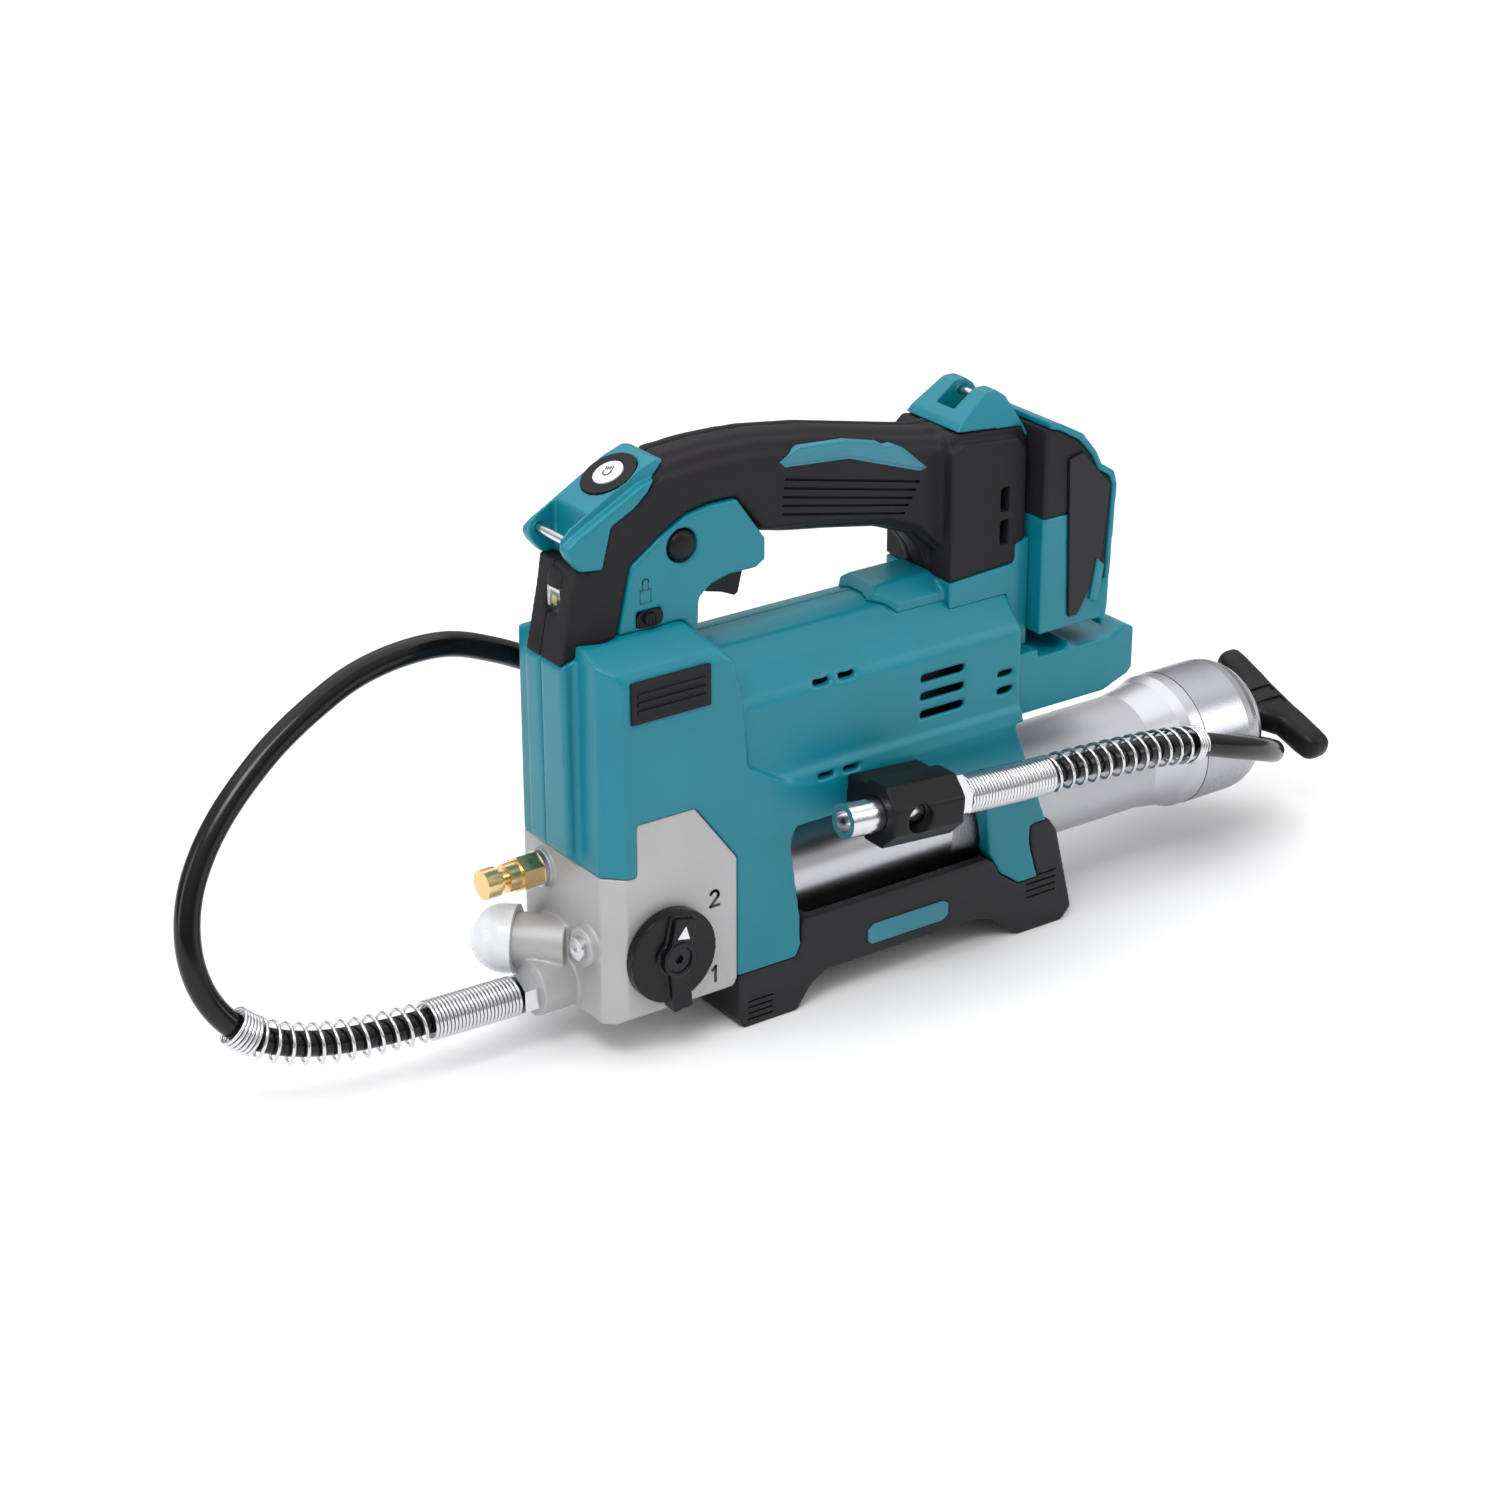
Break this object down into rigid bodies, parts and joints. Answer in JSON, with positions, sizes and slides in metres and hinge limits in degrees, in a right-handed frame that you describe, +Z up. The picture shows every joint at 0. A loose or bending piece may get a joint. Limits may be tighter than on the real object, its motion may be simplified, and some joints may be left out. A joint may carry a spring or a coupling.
{
  "type": "grease gun",
  "caption": "Battery-powered grease gun with a cast pump head, a tubular grease barrel, a bow handle with trigger, and a long hose with a coupler held at its side.",
  "frame": {"origin": "centre of the front foot's sole, on the ground plane", "axes": "+X along the barrel towards its pull handle, +Z up, -Y towards the side that carries the coupler"},
  "size_m": [0.6154, 0.1356, 0.2735],
  "materials": {
    "housing": "semi-matt moulded plastic",
    "soft_grip": "soft overmould",
    "base": "moulded plastic",
    "black_parts": "fine texture",
    "knob": "gloss",
    "lens": "clear lens",
    "white_print": "printed",
    "circuit": "solder mask",
    "casting": "sand cast",
    "bright_steel": "plated",
    "black_steel": "black oxide",
    "brass": "satin",
    "plain_steel": "machined",
    "spring_steel": "drawn",
    "barrel": "satin, fine knurl at the rear",
    "port_cap": "translucent",
    "rubber": "moulded",
    "hose": "smooth cover"
  },
  "bodies": {
    "tool": {"housing_left": "housing", "housing_right": "housing", "trigger_housing": "housing", "column_foot": "housing", "grip_left": "soft_grip", "grip_right": "soft_grip", "handle_inlays": "housing", "side_pads": "soft_grip", "front_strap_lug": "housing", "front_strap_bar": "bright_steel", "rear_strap_lug": "housing", "rear_strap_bar": "bright_steel", "lamp_window": "lens", "lamp_board": "circuit", "light_bezel": "soft_grip", "trigger_pin": "plain_steel", "trigger_switch": "black_parts", "pump_head": "casting", "head_screws": "plain_steel", "relief_washer": "plain_steel", "relief_body": "brass", "bleed_screw": "bright_steel", "outlet_nut": "bright_steel", "outlet_guard": "bright_steel", "hose": "hose", "coupler_guard": "bright_steel", "coupler_nut": "bright_steel", "coupler_body": "bright_steel", "coupler_holder": "black_parts", "base_bracket": "base", "base_inlays": "housing", "battery_mount": "housing", "battery_cover": "soft_grip", "battery_rails": "base", "terminal_block": "black_parts", "motor_can": "plain_steel", "crank_bearing": "plain_steel", "control_board": "circuit", "housing_screws": "plain_steel"},
    "light_button": {"light_button": "white_print"},
    "trigger": {"trigger": "black_parts"},
    "lock_button": {"lock_button": "black_parts"},
    "lock_slider": {"lock_slider": "black_parts"},
    "selector": {"selector_knob": "knob", "knob_screw": "black_steel", "knob_arrow": "white_print"},
    "relief_button": {"relief_button": "brass"},
    "port_cap": {"port_cap": "port_cap"},
    "barrel": {"barrel_tube": "barrel", "barrel_seal": "rubber", "end_cap": "barrel", "follower_spring": "spring_steel"},
    "follower": {"follower_piston": "rubber"},
    "rod": {"follower_rod": "plain_steel", "t_handle": "black_parts"},
    "motor": {"motor_shaft": "plain_steel"},
    "crank": {"crank_gear": "plain_steel"},
    "plunger": {"plunger": "plain_steel"},
    "check_ball": {"check_ball": "plain_steel"}
  },
  "joints": [
    {"name": "trigger_pull", "type": "hinge", "parent": "tool", "child": "trigger", "pos_m": [-0.016, 0, 0.2154], "axis": [0, -1, 0], "range_deg": [0, 10], "stiffness_Nm_per_rad": 0.4, "springref_deg": -6.88},
    {"name": "lock_button_press", "type": "slide", "parent": "tool", "child": "lock_button", "axis": [0, 1, 0], "range_m": [0, 0.003], "stiffness_N_per_m": 400, "springref_m": -0.003},
    {"name": "lock_slider_slide", "type": "slide", "parent": "tool", "child": "lock_slider", "axis": [1, 0, 0], "range_m": [-0.0025, 0.002]},
    {"name": "light_button_press", "type": "slide", "parent": "tool", "child": "light_button", "axis": [0.454, 0, -0.891], "range_m": [0, 0.001], "stiffness_N_per_m": 600, "springref_m": -0.001},
    {"name": "selector_turn", "type": "hinge", "parent": "tool", "child": "selector", "pos_m": [-0.0565, -0.04, 0.052], "axis": [0, 1, 0], "range_deg": [0, 120]},
    {"name": "relief_button_press", "type": "slide", "parent": "tool", "child": "relief_button", "axis": [1, 0, 0], "range_m": [0, 0.002], "stiffness_N_per_m": 1500, "springref_m": -0.001},
    {"name": "port_cap_pull", "type": "slide", "parent": "tool", "child": "port_cap", "axis": [-0.7071, 0.7071, 0], "range_m": [0, 0.02]},
    {"name": "barrel_turn", "type": "hinge", "parent": "tool", "child": "barrel", "pos_m": [0.1, 0, 0.057], "axis": [1, 0, 0], "continuous": true},
    {"name": "follower_slide", "type": "slide", "parent": "barrel", "child": "follower", "axis": [1, 0, 0], "range_m": [0, 0.215], "stiffness_N_per_m": 60, "springref_m": -0.15, "deforming": ["follower_spring"]},
    {"name": "rod_turn", "type": "hinge", "parent": "follower", "child": "rod", "pos_m": [0.1, 0, 0.057], "axis": [1, 0, 0], "continuous": true},
    {"name": "motor_spin", "type": "hinge", "parent": "tool", "child": "motor", "pos_m": [0.05, 0, 0.125], "axis": [1, 0, 0], "continuous": true},
    {"name": "crank_spin", "type": "hinge", "parent": "tool", "child": "crank", "pos_m": [0, 0, 0.15], "axis": [1, 0, 0], "continuous": true},
    {"name": "plunger_slide", "type": "slide", "parent": "tool", "child": "plunger", "axis": [0, 0, 1], "range_m": [-0.006, 0.006]},
    {"name": "check_ball_lift", "type": "slide", "parent": "tool", "child": "check_ball", "axis": [-1, 0, 0], "range_m": [0, 0.002], "stiffness_N_per_m": 100, "springref_m": -0.001}
  ],
  "couplings": [
    {"joint": "motor_spin", "follows": "crank_spin", "ratio": -4}
  ]
}
